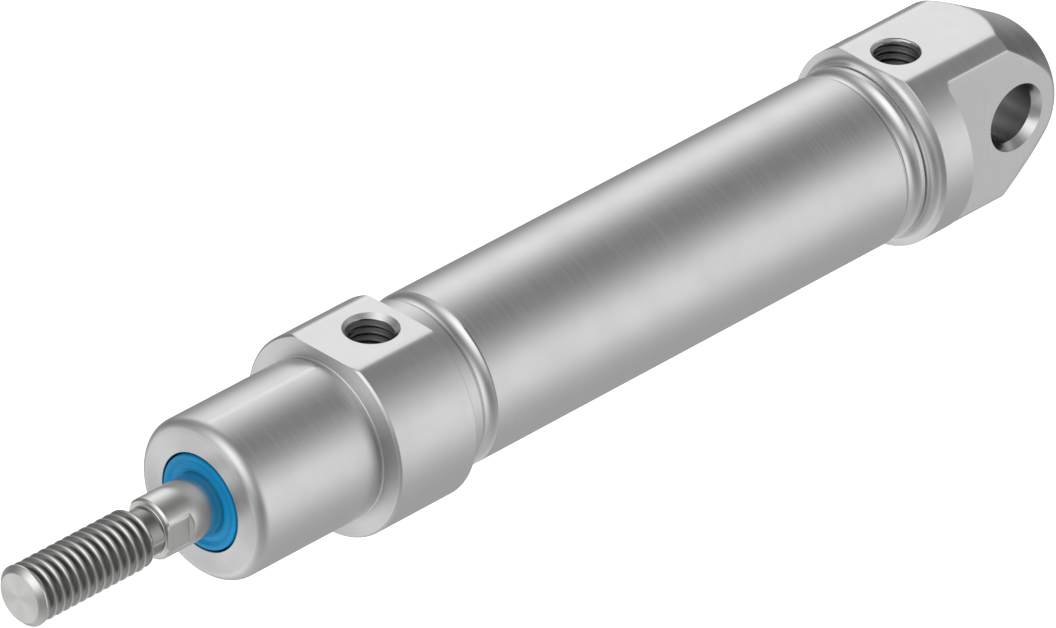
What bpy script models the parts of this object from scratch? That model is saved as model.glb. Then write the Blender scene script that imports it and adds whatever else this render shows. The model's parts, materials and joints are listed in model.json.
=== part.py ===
"""Small round pneumatic cylinder, 16 mm bore and 25 mm stroke, standing in its retracted state.

X runs along the axis towards the rod thread, Z up through the air ports, Y along the pivot hole.
The origin is the middle of the pivot hole. Lengths below are in millimetres.
"""

import math

import bmesh
import bpy

MM = 0.001

# Driving dimensions.
STROKE = 25.0
PISTON_BORE_R = 8.0
PIVOT_TO_THREAD = 82.0 + STROKE
FLANGE_TO_THREAD = 22.0
ROD_R = 3.0
ROD_THREAD_LENGTH = 16.0
PIVOT_HOLE_R = 3.0
LUG_HALF_WIDTH = 6.0
CAP_R = 10.0
PORT_FLAT_Z = 9.03

# Stations along the axis that follow from them.
THREAD_SHOULDER_X = PIVOT_TO_THREAD
FLANGE_X = THREAD_SHOULDER_X - FLANGE_TO_THREAD
ROD_END_X = THREAD_SHOULDER_X + ROD_THREAD_LENGTH

# End cap with its lug.
NOSE_END_X = -7.0
NOSE_ARC_R = 5.5
NOSE_HALF_ANGLE = math.radians(30.0)
CONE_START_X = 1.45
LUG_SHOULDER_X = 10.0
PIVOT_CHAMFER_R = 3.5
PIVOT_CHAMFER_DEPTH = 1.0
END_CAP_EDGE_R = 1.3
END_CAP_FACE_X = 14.9
REAR_PORT_X = 10.3
REAR_BORE_R = 2.5
REAR_BORE_END_X = 8.4
DRILL_POINT_LENGTH = 1.4

# Bearing cap with its smooth spigot.
BEARING_CAP_FACE_X = 75.25
FRONT_PORT_X = FLANGE_X - 6.0
CAP_CHAMFER = 0.4
SPIGOT_R = 8.0
SPIGOT_LENGTH = 15.6
SPIGOT_EDGE_R = 1.2
UNDERCUT_DEPTH = 0.25
SEAL_BORE_R = 4.9
SNAP_GROOVE_R = 5.25
SNAP_GROOVE_X = (97.4, 98.8)
ROD_PASSAGE_R = 4.3
BUSH_SEAT_X = 82.0
BUSH_END_X = 91.9
SEAL_WASHER_X = (91.95, 92.85)
ROD_SEAL_X = (93.0, 96.5)
WIPER_BACK_X = 96.75
GLAND_PIECE_R = 4.8

# The plugs of both caps inside the barrel.
PLUG_R = 7.9
BARREL_R = 8.65
BARREL_GAP = 0.05
BEAD_HALF_WIDTH = 1.0
BEAD_DEPTH = 0.45
REAR_BEAD_X = 16.6
FRONT_BEAD_X = 72.2
BEAD_GROOVE_R = 7.25
BEAD_GROOVE_HALF_WIDTH = 1.2
O_RING_GROOVE_R = 6.85
O_RING_GROOVE_HALF_WIDTH = 0.8
O_RING_SECTION_R = 0.5
REAR_O_RING_X = 19.5
FRONT_O_RING_X = 69.5
REAR_PLUG_END_X = 21.5
FRONT_PLUG_END_X = 67.5
BUMPER_SEAT_R = 6.2
BUMPER_SEAT_DEPTH = 0.7
BUMPER_STAND_OUT = 1.0

# Ports, M5.
PORT_R = 2.1
FRONT_PORT_MOUTH_R = 2.7
REAR_PORT_MOUTH_R = 2.4

# Rod, with its M6 end thread and its M4 stud inside the piston.
STUD_R = 2.0
STUD_END_X = 22.8
ROD_SHOULDER_X = 38.0
WRENCH_HALF_WIDTH = 2.5
WRENCH_START_X = 104.0
RELIEF_R = 2.3
THREAD_START_X = 108.9
THREAD_PITCH = 1.0
THREAD_TURNS = 14
THREAD_ROOT_R = 2.39
THREAD_CREST_R = 2.98
THREAD_CREST_FLAT = 0.2
THREAD_CHAMFER_R = 2.45

# Piston, in its rearmost place.
STOP_GAP = 0.15
PISTON_REAR_X = REAR_PLUG_END_X + BUMPER_STAND_OUT + STOP_GAP
PISTON_FRONT_X = FRONT_PLUG_END_X - BUMPER_STAND_OUT - STOP_GAP - STROKE
PISTON_MID_X = (PISTON_REAR_X + PISTON_FRONT_X) / 2
PISTON_R = 7.6
SLIDING_R = 7.93
HUB_R = 4.9
STUD_HOLE_R = 2.07
MAGNET_HALF_LENGTH = 3.0
MAGNET_R = 7.1
GUIDE_RING_INNER_R = 7.2
LAND_OFFSET = 3.1
SEAL_GROOVE_R = 5.6
SEAL_GROOVE_OFFSET = 5.0
SEAL_GROOVE_WIDTH = 3.0
PISTON_O_RING_X = 36.2
PISTON_O_RING_R = 0.42
PISTON_O_RING_GROOVE_R = 3.0
NUT_POCKET_R = 4.5
NUT_POCKET_FLOOR_X = 26.9
WASHER_THICKNESS = 0.6
NUT_THICKNESS = 3.0
NUT_FLATS = 7.0
FIT_GAP = 0.05

OUTER_SEGMENTS = 48
INNER_SEGMENTS = 24


def clear_scene():
    for old in list(bpy.data.objects):
        bpy.data.objects.remove(old, do_unlink=True)


def material(name, colour, roughness, metallic):
    made = bpy.data.materials.new(name)
    made.use_nodes = True
    shader = made.node_tree.nodes["Principled BSDF"]
    shader.inputs["Base Color"].default_value = (*colour, 1.0)
    shader.inputs["Roughness"].default_value = roughness
    shader.inputs["Metallic"].default_value = metallic
    return made


def empty(name, x, parent=None):
    made = bpy.data.objects.new(name, None)
    made.empty_display_size = 5.0 * MM
    made.location = (x * MM, 0.0, 0.0)
    bpy.context.collection.objects.link(made)
    if parent:
        attach(made, parent)
    return made


def attach(child, parent):
    """Parents without moving the child: both lie on the X axis and are not turned."""
    child.parent = parent
    child.location.x -= world_x(parent)


def world_x(obj):
    """The X of an object whose parents are only shifted along X."""
    x = obj.location.x
    while obj.parent:
        obj = obj.parent
        x += obj.location.x
    return x


def new_object(name, mesh, look, station, parent):
    made = bpy.data.objects.new(name, mesh)
    made.location = (station * MM, 0.0, 0.0)
    bpy.context.collection.objects.link(made)
    if look:
        mesh.materials.append(look)
    if parent:
        attach(made, parent)
    return made


def mesh_from(bm, name):
    bmesh.ops.recalc_face_normals(bm, faces=bm.faces)
    mesh = bpy.data.meshes.new(name)
    bm.to_mesh(mesh)
    bm.free()
    mesh.shade_smooth()
    mesh.set_sharp_from_angle(angle=math.radians(32.0))
    return mesh


def spun(profile, segments, station=0.0):
    """A bmesh turned about X from a profile of (x, r); a profile that ends on the axis is closed there."""
    bm = bmesh.new()
    points = [bm.verts.new(((x - station) * MM, 0.0, r * MM)) for x, r in profile]
    solid = profile[0][1] == 0.0
    ends = points[1:] if solid else points[1:] + points[:1]
    edges = [bm.edges.new(pair) for pair in zip(points, ends)]
    bmesh.ops.spin(
        bm,
        geom=points + edges,
        cent=(0.0, 0.0, 0.0),
        axis=(1.0, 0.0, 0.0),
        angle=math.tau,
        steps=segments,
    )
    bmesh.ops.remove_doubles(bm, verts=bm.verts, dist=1e-7)
    return bm


def turned(name, profile, look, parent, segments=INNER_SEGMENTS):
    """A turned piece whose origin lies on the axis, in the middle of its length."""
    low = min(x for x, _ in profile)
    high = max(x for x, _ in profile)
    station = (low + high) / 2
    mesh = mesh_from(spun(profile, segments, station), name)
    return new_object(name, mesh, look, station, parent)


def arc(x, r, radius, start, end, steps):
    """Points of (x, r) round a centre, from one angle to another in degrees; 0 points along +X."""
    points = []
    for step in range(steps + 1):
        angle = math.radians(start + (end - start) * step / steps)
        points.append((x + radius * math.cos(angle), r + radius * math.sin(angle)))
    return points


def cutter(name, bm):
    """A hidden object that Booleans cut with."""
    made = bpy.data.objects.new(name, mesh_from(bm, name))
    made.hide_render = True
    made.display_type = "WIRE"
    bpy.context.collection.objects.link(made)
    return made


def box_cutter(name, low, high):
    bm = bmesh.new()
    bmesh.ops.create_cube(bm, size=1.0)
    for vert in bm.verts:
        vert.co = [(low[i] + (high[i] - low[i]) * (vert.co[i] + 0.5)) * MM for i in range(3)]
    return cutter(name, bm)


def cut(obj, tool):
    boolean = obj.modifiers.new(tool.name, "BOOLEAN")
    boolean.operation = "DIFFERENCE"
    boolean.solver = "EXACT"
    boolean.object = tool


def port_cutter(name, x, mouth_r):
    """A drill of the port's core size down to the axis, with the countersink of its mouth."""
    over = 0.6
    mouth_depth = mouth_r - PORT_R
    profile = [
        (0.0, 0.0),
        (0.0, PORT_R),
        (PORT_FLAT_Z - mouth_depth, PORT_R),
        (PORT_FLAT_Z + over, mouth_r + over),
        (PORT_FLAT_Z + over, 0.0),
    ]
    tool = cutter(name, spun(profile, INNER_SEGMENTS))
    tool.rotation_euler = (0.0, -math.pi / 2, 0.0)
    tool.location = (x * MM, 0.0, 0.0)
    return tool


def plug(face_x, end_x, bead_x, ring_x):
    """Outside of a cap's plug, from its root to its end: bead groove, O-ring groove, bumper seat."""
    inward = 1.0 if end_x > face_x else -1.0
    chamfer = 0.3
    bead = BEAD_GROOVE_HALF_WIDTH * inward
    ring = O_RING_GROOVE_HALF_WIDTH * inward
    return [
        (face_x, PLUG_R),
        (bead_x - bead, PLUG_R),
        (bead_x - bead, BEAD_GROOVE_R),
        (bead_x + bead, BEAD_GROOVE_R),
        (bead_x + bead, PLUG_R),
        (ring_x - ring, PLUG_R),
        (ring_x - ring, O_RING_GROOVE_R),
        (ring_x + ring, O_RING_GROOVE_R),
        (ring_x + ring, PLUG_R),
        (end_x - chamfer * inward, PLUG_R),
        (end_x, PLUG_R - chamfer),
        (end_x, BUMPER_SEAT_R),
        (end_x - BUMPER_SEAT_DEPTH * inward, BUMPER_SEAT_R),
    ]


def nose():
    """Rear end of the lug: a flat, an arc and a cone that meets the cap's diameter."""
    arc_x = NOSE_END_X + NOSE_ARC_R
    slope = math.tan(NOSE_HALF_ANGLE)
    arc_r = CAP_R - (CONE_START_X - arc_x) * slope - NOSE_ARC_R * math.hypot(slope, 1.0)
    tangent = 90.0 + math.degrees(NOSE_HALF_ANGLE)
    rounded = arc(arc_x, arc_r, NOSE_ARC_R, 180.0, tangent, 5)
    return [(NOSE_END_X, 0.0)] + rounded + [(CONE_START_X, CAP_R)]


def make_end_cap(look, parent):
    rounding = arc(
        END_CAP_FACE_X - END_CAP_EDGE_R, CAP_R - END_CAP_EDGE_R, END_CAP_EDGE_R, 90.0, 0.0, 3
    )
    bore = [
        (REAR_PLUG_END_X - BUMPER_SEAT_DEPTH, REAR_BORE_R),
        (REAR_BORE_END_X, REAR_BORE_R),
        (REAR_BORE_END_X - DRILL_POINT_LENGTH, 0.0),
    ]
    outside_plug = plug(END_CAP_FACE_X, REAR_PLUG_END_X, REAR_BEAD_X, REAR_O_RING_X)
    profile = nose() + rounding + outside_plug + bore
    cap = turned("end_cap", profile, look, parent, OUTER_SEGMENTS)
    over = 1.0
    low_x = NOSE_END_X - over
    reach = CAP_R + over
    for side, name in ((1.0, "lug_side_cut_near"), (-1.0, "lug_side_cut_far")):
        faces = sorted((side * LUG_HALF_WIDTH, side * reach))
        cut(cap, box_cutter(name, (low_x, faces[0], -reach), (LUG_SHOULDER_X, faces[1], reach)))
    flat_low = (low_x, -CAP_R, PORT_FLAT_Z)
    flat_high = (END_CAP_FACE_X + over / 2, CAP_R, reach)
    cut(cap, box_cutter("end_cap_flat_cut", flat_low, flat_high))
    cut(cap, port_cutter("rear_port_cut", REAR_PORT_X, REAR_PORT_MOUTH_R))
    cut(cap, pivot_cutter())
    return cap


def pivot_cutter():
    """The pivot hole through the lug, with a chamfer at each mouth."""
    slope = (PIVOT_CHAMFER_R - PIVOT_HOLE_R) / PIVOT_CHAMFER_DEPTH
    over = 0.2
    inner = LUG_HALF_WIDTH - PIVOT_CHAMFER_DEPTH
    outer = LUG_HALF_WIDTH + over
    profile = [
        (-outer, 0.0),
        (-outer, PIVOT_CHAMFER_R + over * slope),
        (-inner, PIVOT_HOLE_R),
        (inner, PIVOT_HOLE_R),
        (outer, PIVOT_CHAMFER_R + over * slope),
        (outer, 0.0),
    ]
    tool = cutter("pivot_hole_cut", spun(profile, 32))
    tool.rotation_euler = (0.0, 0.0, math.pi / 2)
    return tool


def make_bearing_cap(look, parent):
    spigot_end = FLANGE_X + SPIGOT_LENGTH
    edge_break = 0.2
    flange = [
        (BEARING_CAP_FACE_X, CAP_R - edge_break),
        (BEARING_CAP_FACE_X + edge_break, CAP_R),
        (FLANGE_X - CAP_CHAMFER, CAP_R),
        (FLANGE_X, CAP_R - CAP_CHAMFER),
        (FLANGE_X, SPIGOT_R + 0.3),
        (FLANGE_X - UNDERCUT_DEPTH, SPIGOT_R + 0.3),
        (FLANGE_X - UNDERCUT_DEPTH, SPIGOT_R - 0.15),
        (FLANGE_X + 0.6, SPIGOT_R - 0.15),
        (FLANGE_X + 0.75, SPIGOT_R),
    ]
    spigot = arc(
        spigot_end - SPIGOT_EDGE_R, SPIGOT_R - SPIGOT_EDGE_R, SPIGOT_EDGE_R, 90.0, 0.0, 4
    )
    inside = [
        (spigot_end, SEAL_BORE_R),
        (SNAP_GROOVE_X[1], SEAL_BORE_R),
        (SNAP_GROOVE_X[1], SNAP_GROOVE_R),
        (SNAP_GROOVE_X[0], SNAP_GROOVE_R),
        (SNAP_GROOVE_X[0], SEAL_BORE_R),
        (BUSH_SEAT_X, SEAL_BORE_R),
        (BUSH_SEAT_X, ROD_PASSAGE_R),
        (FRONT_PLUG_END_X + BUMPER_SEAT_DEPTH, ROD_PASSAGE_R),
    ]
    outside_plug = plug(BEARING_CAP_FACE_X, FRONT_PLUG_END_X, FRONT_BEAD_X, FRONT_O_RING_X)
    profile = list(reversed(outside_plug)) + flange + spigot + inside
    cap = turned("bearing_cap", profile, look, parent, OUTER_SEGMENTS)
    over = 1.0
    flat_low = (BEARING_CAP_FACE_X - over, -CAP_R, PORT_FLAT_Z)
    flat_high = (FLANGE_X + over, CAP_R, CAP_R + over)
    cut(cap, box_cutter("bearing_cap_flat_cut", flat_low, flat_high))
    cut(cap, port_cutter("front_port_cut", FRONT_PORT_X, FRONT_PORT_MOUTH_R))
    return cap


def bead(x, r, direction):
    """The tube's wall rolled inwards round x, with its shoulders eased."""
    return [
        (x - direction * BEAD_HALF_WIDTH, r),
        (x - direction * BEAD_HALF_WIDTH * 0.55, r - BEAD_DEPTH),
        (x + direction * BEAD_HALF_WIDTH * 0.55, r - BEAD_DEPTH),
        (x + direction * BEAD_HALF_WIDTH, r),
    ]


def make_barrel(look, parent):
    rear_x = END_CAP_FACE_X + BARREL_GAP
    front_x = BEARING_CAP_FACE_X - BARREL_GAP
    ease = 0.15
    outside = (
        [(rear_x, BARREL_R - ease), (rear_x + ease, BARREL_R)]
        + bead(REAR_BEAD_X, BARREL_R, 1.0)
        + bead(FRONT_BEAD_X, BARREL_R, 1.0)
        + [(front_x - ease, BARREL_R), (front_x, BARREL_R - ease)]
    )
    inside = (
        [(front_x, PISTON_BORE_R)]
        + bead(FRONT_BEAD_X, PISTON_BORE_R, -1.0)
        + bead(REAR_BEAD_X, PISTON_BORE_R, -1.0)
        + [(rear_x, PISTON_BORE_R)]
    )
    return turned("barrel_tube", outside + inside, look, parent, OUTER_SEGMENTS)


def make_ring(name, low_x, high_x, inner_r, outer_r, look, parent, ease=0.0):
    """A plain turned ring, with its outer edges chamfered where ease is given."""
    if ease:
        outside = [
            (low_x, outer_r - ease),
            (low_x + ease, outer_r),
            (high_x - ease, outer_r),
            (high_x, outer_r - ease),
        ]
    else:
        outside = [(low_x, outer_r), (high_x, outer_r)]
    return turned(name, [(low_x, inner_r)] + outside + [(high_x, inner_r)], look, parent)


def make_o_ring(name, x, r, section_r, look, parent):
    circle = arc(x, r, section_r, 22.5, 337.5, 7)
    return turned(name, circle, look, parent)


def make_rod_wiper_seal(look, parent):
    """Wiper with a snap bead in the spigot's groove, a raised rim and a scraping lip on the rod."""
    front = FLANGE_X + SPIGOT_LENGTH
    bead_low, bead_high = SNAP_GROOVE_X
    lip_r = ROD_R + FIT_GAP + 0.01
    profile = [
        (WIPER_BACK_X, 3.5),
        (WIPER_BACK_X, GLAND_PIECE_R - 0.05),
        (bead_low + 0.2, GLAND_PIECE_R),
        (bead_low + 0.4, SNAP_GROOVE_R - 0.1),
        (bead_high - 0.4, SNAP_GROOVE_R - 0.1),
        (bead_high - 0.2, GLAND_PIECE_R),
        (front - 0.05, 4.7),
        (front + 0.1, 4.55),
        (front + 0.1, 4.25),
        (front - 0.15, 4.05),
        (front - 0.55, 3.65),
        (front - 0.75, lip_r),
        (front - 1.6, lip_r),
        (front - 2.6, 3.4),
    ]
    return turned("rod_wiper_seal", profile, look, parent, 36)


def make_rod_seal(look, parent):
    """U-shaped lip seal that opens towards the pressure side."""
    lip_x, heel_x = ROD_SEAL_X
    valley_x = lip_x + 1.6
    profile = [
        (heel_x, 3.3),
        (heel_x, GLAND_PIECE_R - 0.1),
        (lip_x + 0.3, GLAND_PIECE_R),
        (lip_x, 4.5),
        (valley_x, 4.2),
        (valley_x, 3.7),
        (lip_x, 3.3),
        (lip_x + 0.3, ROD_R + FIT_GAP + 0.01),
    ]
    return turned("rod_seal", profile, look, parent)


def make_piston_half(name, toward, look, parent):
    """One half of the piston. toward is +1 for the half nearer the rod's thread and -1 for the other."""

    def x(offset):
        return PISTON_MID_X + toward * offset

    end = PISTON_FRONT_X - PISTON_MID_X
    groove = SEAL_GROOVE_OFFSET
    ease = 0.3
    outside = [
        (x(0.02), HUB_R),
        (x(LAND_OFFSET), HUB_R),
        (x(LAND_OFFSET), PISTON_R),
        (x(groove), PISTON_R),
        (x(groove), SEAL_GROOVE_R),
        (x(groove + SEAL_GROOVE_WIDTH), SEAL_GROOVE_R),
        (x(groove + SEAL_GROOVE_WIDTH), PISTON_R),
        (x(end - ease), PISTON_R),
        (x(end), PISTON_R - ease),
    ]
    if toward > 0:
        inside = [
            (x(end), ROD_R + FIT_GAP),
            (ROD_SHOULDER_X - FIT_GAP, ROD_R + FIT_GAP),
            (ROD_SHOULDER_X - FIT_GAP, STUD_HOLE_R),
            (PISTON_O_RING_X + PISTON_O_RING_R + 0.1, STUD_HOLE_R),
            (PISTON_O_RING_X + PISTON_O_RING_R + 0.1, PISTON_O_RING_GROOVE_R),
            (PISTON_O_RING_X - PISTON_O_RING_R - 0.1, PISTON_O_RING_GROOVE_R),
            (PISTON_O_RING_X - PISTON_O_RING_R - 0.1, STUD_HOLE_R),
            (x(0.02), STUD_HOLE_R),
        ]
    else:
        inside = [
            (x(end), NUT_POCKET_R),
            (NUT_POCKET_FLOOR_X, NUT_POCKET_R),
            (NUT_POCKET_FLOOR_X, STUD_HOLE_R),
            (x(0.02), STUD_HOLE_R),
        ]
    return turned(name, outside + inside, look, parent)


def make_piston_seal(name, toward, look, parent):
    """Lip seal of the piston, open towards the end of the piston that it seals."""

    def x(offset):
        return PISTON_MID_X + toward * (SEAL_GROOVE_OFFSET + offset)

    profile = [
        (x(0.15), SEAL_GROOVE_R + 0.1),
        (x(0.15), PISTON_R - 0.1),
        (x(2.5), SLIDING_R),
        (x(2.8), SLIDING_R - 0.25),
        (x(1.4), 7.0),
        (x(1.4), 6.3),
        (x(2.8), SEAL_GROOVE_R + 0.35),
        (x(2.8), SEAL_GROOVE_R + 0.1),
    ]
    return turned(name, profile, look, parent)


def make_guide_ring(look, parent):
    """Wear strip round the magnet, split so that it can be opened over the piston."""
    ring = make_ring(
        "piston_guide_ring",
        PISTON_MID_X - MAGNET_HALF_LENGTH,
        PISTON_MID_X + MAGNET_HALF_LENGTH,
        GUIDE_RING_INNER_R,
        SLIDING_R,
        look,
        parent,
    )
    split = box_cutter("guide_ring_split_cut", (-5.0, -0.3, -9.0), (5.0, 0.3, -6.0))
    split.location.x = PISTON_MID_X * MM
    split.rotation_euler = (0.0, 0.0, math.radians(30.0))
    cut(ring, split)
    return ring


def make_piston_nut(look, parent):
    """Hexagon nut on the rod's stud, its corners chamfered on the outer face."""
    high_x = NUT_POCKET_FLOOR_X - WASHER_THICKNESS - 3 * FIT_GAP
    low_x = high_x - NUT_THICKNESS
    corner_r = NUT_FLATS / math.sqrt(3.0)
    bm = bmesh.new()
    bmesh.ops.create_cone(
        bm,
        cap_ends=True,
        segments=6,
        radius1=corner_r * MM,
        radius2=corner_r * MM,
        depth=NUT_THICKNESS * MM,
    )
    for vert in bm.verts:
        vert.co = (vert.co.z, vert.co.x, vert.co.y)
    station = (low_x + high_x) / 2
    nut = new_object("piston_nut", mesh_from(bm, "piston_nut"), look, station, parent)
    reach = NUT_THICKNESS
    bore = [(-reach, 0.0), (-reach, STUD_HOLE_R), (reach, STUD_HOLE_R), (reach, 0.0)]
    tool = cutter("nut_bore_cut", spun(bore, INNER_SEGMENTS))
    tool.location.x = station * MM
    cut(nut, tool)
    return nut


def thread_column(column, columns, turns):
    """Points of (x, r) along one generatrix of the M6 thread: root, crest start and crest end per turn."""
    points = []
    last = turns if column else turns + 1
    for turn in range(last):
        along = turn * columns + column
        height = min(1.0, along / (0.5 * columns), (turns * columns - along) / (0.25 * columns))
        start = THREAD_START_X + THREAD_PITCH * along / columns
        middle = start + THREAD_PITCH / 2
        crest = THREAD_ROOT_R + max(0.0, height) * (THREAD_CREST_R - THREAD_ROOT_R)
        points.append((start, THREAD_ROOT_R))
        for side in (-0.5, 0.5):
            x = middle + side * THREAD_CREST_FLAT
            limit = THREAD_CHAMFER_R + ROD_END_X - x
            points.append((x, max(THREAD_ROOT_R, min(crest, limit))))
    points.append((THREAD_START_X + THREAD_PITCH * (last + column / columns), THREAD_ROOT_R))
    return points


def add_thread(bm, ring_a, ring_b, station):
    """Skins a helical thread between two rings of vertices that lie at its root radius."""
    columns = len(ring_a)
    turns = THREAD_TURNS - 1
    grid = []
    for column in range(columns):
        angle = math.tau * column / columns
        line = [ring_a[column]]
        for x, r in thread_column(column, columns, turns):
            line.append(bm.verts.new(place(x - station, r, angle)))
        line.append(ring_b[column])
        grid.append(line)
    per_turn = 3
    for column in range(columns):
        here = grid[column]
        after = grid[(column + 1) % columns]
        wraps = column == columns - 1
        shift = per_turn if wraps else 0
        shared = per_turn * turns + 1
        bm.faces.new(here[:2] + list(reversed(after[: 2 + shift])))
        for index in range(1, shared):
            bm.faces.new(
                (here[index], here[index + 1], after[index + 1 + shift], after[index + shift])
            )
        bm.faces.new(here[shared:] + list(reversed(after[shared + shift :])))


def place(x, r, angle):
    """A point at height x on the axis and radius r; angle 0 points up."""
    return (x * MM, -r * math.sin(angle) * MM, r * math.cos(angle) * MM)


def make_piston_rod(look, parent):
    """Rod with its stud, ground shank, wrench flats, relief groove and rolled thread."""
    station = (ROD_SHOULDER_X + THREAD_SHOULDER_X) / 2
    edge = 0.15
    profile = [
        (STUD_END_X, 0.0),
        (STUD_END_X, STUD_R - 0.3),
        (STUD_END_X + 0.3, STUD_R),
        (ROD_SHOULDER_X, STUD_R),
        (ROD_SHOULDER_X, ROD_R - edge),
        (ROD_SHOULDER_X + edge, ROD_R),
        (THREAD_SHOULDER_X - edge, ROD_R),
        (THREAD_SHOULDER_X, ROD_R - edge),
        (THREAD_SHOULDER_X, RELIEF_R),
        (THREAD_START_X - 0.3, RELIEF_R),
        (THREAD_START_X - 0.1, THREAD_ROOT_R),
    ]
    bm = bmesh.new()
    rings = []
    for x, r in profile:
        if r == 0.0:
            rings.append([bm.verts.new(place(x - station, 0.0, 0.0))])
            continue
        rings.append(
            [
                bm.verts.new(place(x - station, r, math.tau * k / INNER_SEGMENTS))
                for k in range(INNER_SEGMENTS)
            ]
        )
    tip = rings[0][0]
    for k in range(INNER_SEGMENTS):
        after = (k + 1) % INNER_SEGMENTS
        bm.faces.new((tip, rings[1][k], rings[1][after]))
        for near, far in zip(rings[1:], rings[2:]):
            bm.faces.new((near[k], far[k], far[after], near[after]))
    end_ring = [
        bm.verts.new(place(ROD_END_X - station, THREAD_ROOT_R, math.tau * k / INNER_SEGMENTS))
        for k in range(INNER_SEGMENTS)
    ]
    add_thread(bm, rings[-1], end_ring, station)
    bm.faces.new(end_ring)
    rod = new_object("piston_rod", mesh_from(bm, "piston_rod"), look, station, parent)
    reach = ROD_R + 1.0
    for side, name in ((1.0, "wrench_cut_near"), (-1.0, "wrench_cut_far")):
        faces = sorted((side * WRENCH_HALF_WIDTH, side * reach))
        low = (WRENCH_START_X, faces[0], -reach)
        cut(rod, box_cutter(name, low, (THREAD_SHOULDER_X + 0.5, faces[1], reach)))
    return rod


def make_fixed_parts(frame, looks):
    make_end_cap(looks["cap_steel"], frame)
    make_bearing_cap(looks["cap_steel"], frame)
    make_barrel(looks["barrel_steel"], frame)
    ring_r = O_RING_GROOVE_R + O_RING_SECTION_R + 0.06
    make_o_ring("rear_cap_o_ring", REAR_O_RING_X, ring_r, O_RING_SECTION_R, looks["rubber"], frame)
    make_o_ring("front_cap_o_ring", FRONT_O_RING_X, ring_r, O_RING_SECTION_R, looks["rubber"], frame)
    seat = BUMPER_SEAT_DEPTH - FIT_GAP
    bumper = dict(inner_r=3.6, outer_r=6.1, look=looks["polyurethane"], parent=frame, ease=0.25)
    rear = REAR_PLUG_END_X
    front = FRONT_PLUG_END_X
    make_ring("rear_bumper", rear - seat, rear + BUMPER_STAND_OUT, **bumper)
    make_ring("front_bumper", front - BUMPER_STAND_OUT, front + seat, **bumper)
    gland = dict(outer_r=GLAND_PIECE_R, parent=frame)
    bush = dict(inner_r=ROD_R + FIT_GAP, look=looks["bronze"], ease=0.3, **gland)
    make_ring("rod_guide_bush", BUSH_SEAT_X + FIT_GAP, BUSH_END_X, **bush)
    make_ring("rod_seal_washer", *SEAL_WASHER_X, inner_r=3.2, look=looks["washer_steel"], **gland)
    make_rod_seal(looks["rubber"], frame)
    make_rod_wiper_seal(looks["wiper"], frame)


def make_sliding_parts(slide, looks):
    make_piston_seal("piston_seal_rear", -1.0, looks["rubber"], slide)
    make_piston_seal("piston_seal_front", 1.0, looks["rubber"], slide)
    make_guide_ring(looks["acetal"], slide)


def make_rod_parts(spin, looks):
    make_piston_rod(looks["rod_steel"], spin)
    make_piston_half("piston_rear_half", -1.0, looks["aluminium"], spin)
    make_piston_half("piston_front_half", 1.0, looks["aluminium"], spin)
    magnet = dict(inner_r=HUB_R + 0.1, outer_r=MAGNET_R, look=looks["magnet"], parent=spin)
    rear_x = PISTON_MID_X - MAGNET_HALF_LENGTH
    make_ring("piston_magnet", rear_x, rear_x + 2 * MAGNET_HALF_LENGTH, **magnet)
    ring_r = STUD_R + PISTON_O_RING_R + 0.08
    make_o_ring("piston_o_ring", PISTON_O_RING_X, ring_r, PISTON_O_RING_R, looks["rubber"], spin)
    washer_end = NUT_POCKET_FLOOR_X - FIT_GAP
    washer = dict(inner_r=STUD_HOLE_R, outer_r=4.2, look=looks["washer_steel"], parent=spin)
    make_ring("piston_washer", washer_end - WASHER_THICKNESS, washer_end, **washer)
    make_piston_nut(looks["washer_steel"], spin)


def main():
    clear_scene()
    looks = {
        "cap_steel": material("cap_steel", (0.66, 0.66, 0.65), 0.34, 1.0),
        "barrel_steel": material("barrel_steel", (0.64, 0.63, 0.62), 0.30, 1.0),
        "rod_steel": material("rod_steel", (0.60, 0.59, 0.57), 0.26, 1.0),
        "washer_steel": material("washer_steel", (0.55, 0.55, 0.56), 0.35, 1.0),
        "aluminium": material("aluminium", (0.72, 0.73, 0.74), 0.35, 1.0),
        "bronze": material("bronze", (0.52, 0.36, 0.18), 0.5, 1.0),
        "magnet": material("magnet", (0.05, 0.05, 0.055), 0.55, 0.3),
        "wiper": material("wiper", (0.012, 0.27, 0.63), 0.42, 0.0),
        "rubber": material("rubber", (0.02, 0.02, 0.02), 0.7, 0.0),
        "polyurethane": material("polyurethane", (0.03, 0.16, 0.12), 0.5, 0.0),
        "acetal": material("acetal", (0.75, 0.74, 0.70), 0.45, 0.0),
    }
    frame = empty("barrel_frame", 0.0)
    slide = empty("rod_slide_axis", PISTON_MID_X, frame)
    spin = empty("rod_spin_axis", PISTON_MID_X, slide)
    make_fixed_parts(frame, looks)
    make_sliding_parts(slide, looks)
    make_rod_parts(spin, looks)


main()
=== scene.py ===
"""Looks of the small round pneumatic cylinder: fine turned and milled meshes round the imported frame.

Lengths are in millimetres until a mesh is made. X is the axis, towards the rod's thread, Z up through
the ports, Y along the pivot hole, and the origin is the middle of that hole, as in the frame.
Angles round the axis start at +Y and turn towards +Z.
"""

import json
import math

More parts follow.
